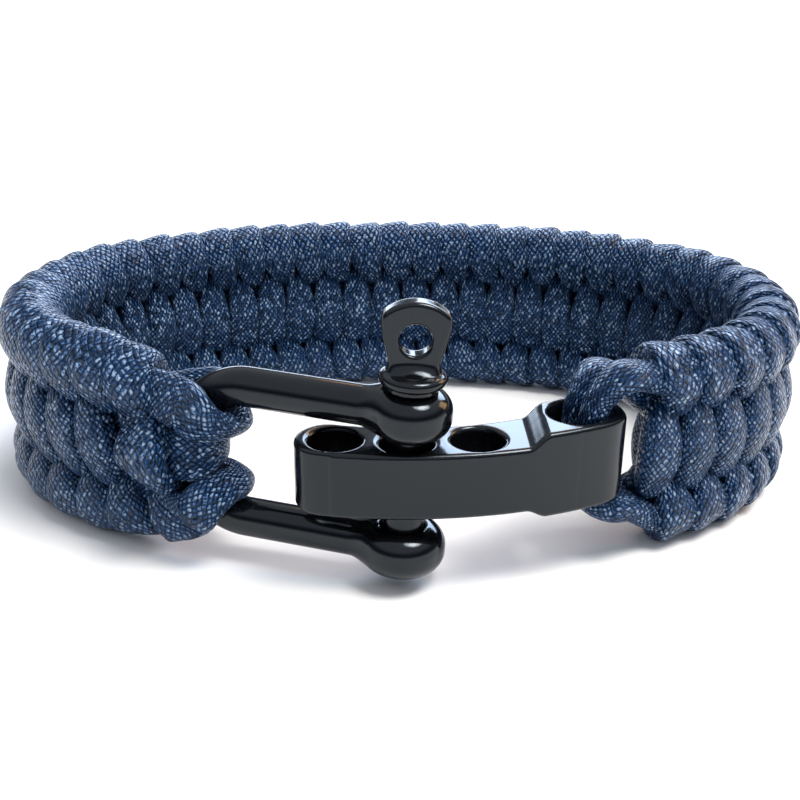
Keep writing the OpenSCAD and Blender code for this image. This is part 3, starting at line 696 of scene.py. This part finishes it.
def makeCord(name, stations, alongRun, nodes=(), part=slice(None)):
    # stations: rows of place in mm, direction across, half width, half thickness, squareness and tilt;
    # the frames come from the whole path, and the cord is swept along one part of it
    centre = stations[:, :3]
    ahead = np.gradient(centre, axis=0)
    ahead /= np.linalg.norm(ahead, axis=1)[:, None]
    across = stations[:, 3:6]
    across = across - ahead * (across * ahead).sum(1)[:, None]
    across /= np.linalg.norm(across, axis=1)[:, None]
    upward = np.cross(ahead, across)
    tilt = np.radians(stations[:, 9:10])
    across, upward = (across * np.cos(tilt) - upward * np.sin(tilt),
                      upward * np.cos(tilt) + across * np.sin(tilt))
    centre, across, upward = centre[part], across[part], upward[part]
    stations, alongRun = stations[part], alongRun[part]
    mesh = bpy.data.meshes.new(name)
    mesh.from_pydata([tuple(p) for p in centre * mm], [(i, i + 1) for i in range(len(centre) - 1)], [])
    for key, kind, values in (("centre", "FLOAT_VECTOR", centre * mm), ("across", "FLOAT_VECTOR", across),
                              ("upward", "FLOAT_VECTOR", upward), ("halfWidth", "FLOAT", stations[:, 6]),
                              ("halfThick", "FLOAT", stations[:, 7]), ("squareness", "FLOAT", stations[:, 8]),
                              ("alongMm", "FLOAT", alongRun)):
        attribute = mesh.attributes.new(key, kind, "POINT")
        what = "vector" if kind == "FLOAT_VECTOR" else "value"
        attribute.data.foreach_set(what, np.asarray(values, np.float32).ravel())
    piece = bpy.data.objects.new(name, mesh)
    scene.collection.objects.link(piece)
    sweep = piece.modifiers.new("sweep", "NODES")
    sweep.node_group = cordSweep
    given = {"Sides": braid["sides"], "Material": cordMaterial}
    for item in cordSweep.interface.items_tree:
        if item.in_out == "INPUT" and item.name in given:
            sweep[item.identifier] = given[item.name]
    done = applyModifiers(piece)
    shape = bmesh.new()
    shape.from_mesh(done)
    if shape.calc_volume(signed=True) < 0:
        bmesh.ops.reverse_faces(shape, faces=shape.faces)
    for face in shape.faces:
        if len(face.verts) > 4:  # the flat ends, sharp so that the shading runs on from piece to piece
            face.smooth = False
            for edge in face.edges:
                edge.smooth = False
    shape.to_mesh(done)
    shape.free()
    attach(piece, "bracelet")
    if nodes:
        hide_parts(*nodes)
    print(name, "made,", countTriangles(done), "triangles,", round(alongRun[-1] - alongRun[0]), "mm")


# One long cord, cut into pieces that meet, so that none of them has too many triangles
stations, stationRun = weaveStations()
for number in range(weave["pieces"]):
    start, stop = (len(stations) * (number + i) // weave["pieces"] for i in (0, 1))
    makeCord("weaving_cord_%d" % (number + 1), stations, stationRun, ["woven_band"], slice(start, stop + 1))


# The four core cords that the weave is packed round, seen only as the dark between its lumps
core = {"heights": (18.9, 13.5, 9.5, 4.1), "halfTall": 1.9, "halfThick": 0.75, "squareness": 0.03,
        "inset": 1.0, "step": 0.8}
for number, height in enumerate(core["heights"]):
    s = np.arange(core["inset"], bandLength - core["inset"], core["step"])
    place = bandPlace(s, np.zeros(len(s)), np.full(len(s), height))
    flat = [0, 0, 1, core["halfTall"], core["halfThick"], core["squareness"], 0]
    rows = np.column_stack([place, np.tile(flat, (len(s), 1))])
    makeCord("core_cord_%d" % (number + 1), rows, s, ["woven_band"])


def bezier(a, b, c, d, t):
    t = np.asarray(t)[:, None]
    return a * (1 - t) ** 3 + b * 3 * t * (1 - t) ** 2 + c * 3 * t * t * (1 - t) + d * t ** 3


# Cords round the bow: out of the band in front of the rod, round its inner side and back behind it
bowCords = {
    "gap": 0.1, "inset": 3.5, "within": 0.8, "backRise": 0.75, "startPull": 0.4, "finishPull": 0.12,
    "width": 4.2, "slide": 1.8, "legThick": 2.1, "legStart": 4.0, "legWiden": 2.5, "squareness": 0.04,
    "legSteps": 10, "turnSteps": 9, "spacing": 0.3,
    # name: angle round the bow's bend, height from the band's middle, thickness, inner and front widths
    "upper_shackle_loop": (56, 6.6, 2.8, 3.2, 5.2),
    "middle_shackle_loop": (0, 0, 1.5, 2.9, 5.6),
    "lower_shackle_loop": (-63, -5.0, 2.8, 3.2, 4.8),
}


def bowCord(name):
    angle, rise, thick, inner, front = bowCords[name]
    tilt = math.radians(angle)
    inward = np.array([math.cos(tilt), 0, -math.sin(tilt)])
    origin = fromClosure(np.zeros(3))
    alongRod = np.array([math.sin(tilt), 0, math.cos(tilt)])
    rodWay = fromClosure(alongRod) - origin
    inwardWay = fromClosure(inward) - origin
    straight = shackle["spacing"] / 2 - shackle["bend"]
    onRod = np.array([-shackle["length"] + shackle["bend"] * (1 - math.cos(tilt)), 0,
                      np.sign(tilt) * straight + shackle["bend"] * math.sin(tilt)])
    off = shackle["rod"] / 2 + bowCords["gap"] + thick / 2
    legThick = min(thick, bowCords["legThick"])
    turn = []
    for a in np.radians(np.linspace(-90, 90, bowCords["turnSteps"])):
        slide = bowCords["slide"] * abs(math.sin(a)) * np.sign(tilt) * alongRod
        place = fromClosure(onRod - slide + off * (inward * math.cos(a) + np.array([0, math.sin(a), 0])))
        widest = front if a < 0 else bowCords["width"]
        share = abs(math.sin(a))
        turn.append([*place, *rodWay, (inner + (widest - inner) * share) / 2,
                     (thick + (legThick - thick) * share) / 2, bowCords["squareness"], 0])
    turn = np.array(turn)
    endWay = np.append(along(np.array(bandLength))[1], 0)

    def leg(side, finish, wide):
        height = band["height"] / 2 + rise * (1 if side > 0 else bowCords["backRise"])
        start = bandPlace(bandLength - bowCords["inset"], side * bowCords["within"], height)
        reach = np.linalg.norm(finish - start)
        t = np.linspace(0, 1, bowCords["legSteps"], endpoint=False)
        place = bezier(start, start + bowCords["startPull"] * reach * endWay,
                       finish - bowCords["finishPull"] * reach * inwardWay, finish, t)
        ease = (t * t * (3 - 2 * t))[:, None]
        across = np.array([0, 0, 1]) * (1 - ease) + rodWay * ease
        narrow = bowCords["legStart"]
        width = (narrow + (wide - narrow) * np.minimum(1, bowCords["legWiden"] * t)) / 2
        flat = np.tile([legThick / 2, bowCords["squareness"], 0], (len(t), 1))
        return np.column_stack([place, across, width, flat])

    rows = np.vstack([leg(1, turn[0, :3], front), turn, leg(-1, turn[-1, :3], bowCords["width"])[::-1]])
    stations, run = smoothPath(rows, bowCords["spacing"])
    makeCord(name + "_cord", stations, run, [name])


for name in ("upper_shackle_loop", "middle_shackle_loop", "lower_shackle_loop"):
    bowCord(name)


# Cords through the bar's last hole, side by side, each round the end wall of the bar
holeCords = {
    "gap": 0.12, "thick": 3.0, "width": 4.2, "rim": 1.3, "holeWidth": 2.6, "holeThick": 3.1,
    "apart": 1.35, "openApart": 2.2, "closing": 1.7, "inset": 3.5, "within": 0.6, "pull": 0.35,
    "squareness": 0.04, "arcSteps": 6, "legSteps": 7, "spacing": 0.3,
    # name: side, heights in the band above and below, height of its arch over the rim, shift towards the band
    "outer_adjuster_loop": (-1, 18.8, 2.8, 2.2, 1.2),
    "inner_adjuster_loop": (1, 15.4, 3.8, 0.9, 1.3),
}


def holeCord(name):
    side, high, low, arch, shift = holeCords[name]
    h = holeCords
    holeX = bar["cordHoleX"]
    slope = math.atan((barMiddle(holeX + 0.1) - barMiddle(holeX - 0.1)) / 0.2)
    across = np.array([-math.sin(slope), math.cos(slope), 0])
    ahead = np.array([math.cos(slope), math.sin(slope), 0])
    centre = np.array([holeX, closure["pinY"] + barMiddle(holeX), 0]) + ahead * shift
    startWay = -np.append(along(np.array(0.0))[1], 0)
    bend = h["thick"] / 2 + h["rim"]
    blockZ = bar["z"] - bar["blockDrop"]
    over = blockZ + bar["blockHeight"] + h["gap"] + h["thick"] / 2
    under = blockZ - h["gap"] - h["thick"] / 2

    def arc(level, way, extra):
        rows = []
        for share in np.linspace(0, 1, h["arcSteps"]):
            a = math.radians(90 * (1 - share))
            close = min(1, h["closing"] * share)
            place = (centre + across * side * (h["apart"] + (h["openApart"] - h["apart"]) * (1 - close))
                     + ahead * bend * (1 - math.cos(a))
                     + np.array([0, 0, level + extra * (1 - share) + way * bend * (1 - math.sin(a))]))
            rows.append([*place, *across, (h["width"] + (h["holeWidth"] - h["width"]) * close) / 2,
                         (h["thick"] + (h["holeThick"] - h["thick"]) * share) / 2, h["squareness"], 0])
        return np.array(rows)

    top, bottom = arc(over, -1, arch), arc(under, 1, 0)

    def leg(height, finish):
        start = bandPlace(h["inset"], -side * h["within"], height)
        pull = h["pull"] * np.linalg.norm(start - finish)
        t = np.linspace(0, 1, h["legSteps"], endpoint=False)
        place = bezier(start, start + pull * startWay, finish + pull * ahead, finish, t)
        flat = [*across, h["width"] / 2, h["thick"] / 2, h["squareness"], 0]
        return np.column_stack([place, np.tile(flat, (len(t), 1))])

    rows = np.vstack([leg(high, top[0, :3]), top, bottom[::-1], leg(low, bottom[0, :3])[::-1]])
    stations, run = smoothPath(rows, h["spacing"])
    makeCord(name + "_cord", stations, run, [name])


for name in ("outer_adjuster_loop", "inner_adjuster_loop"):
    holeCord(name)
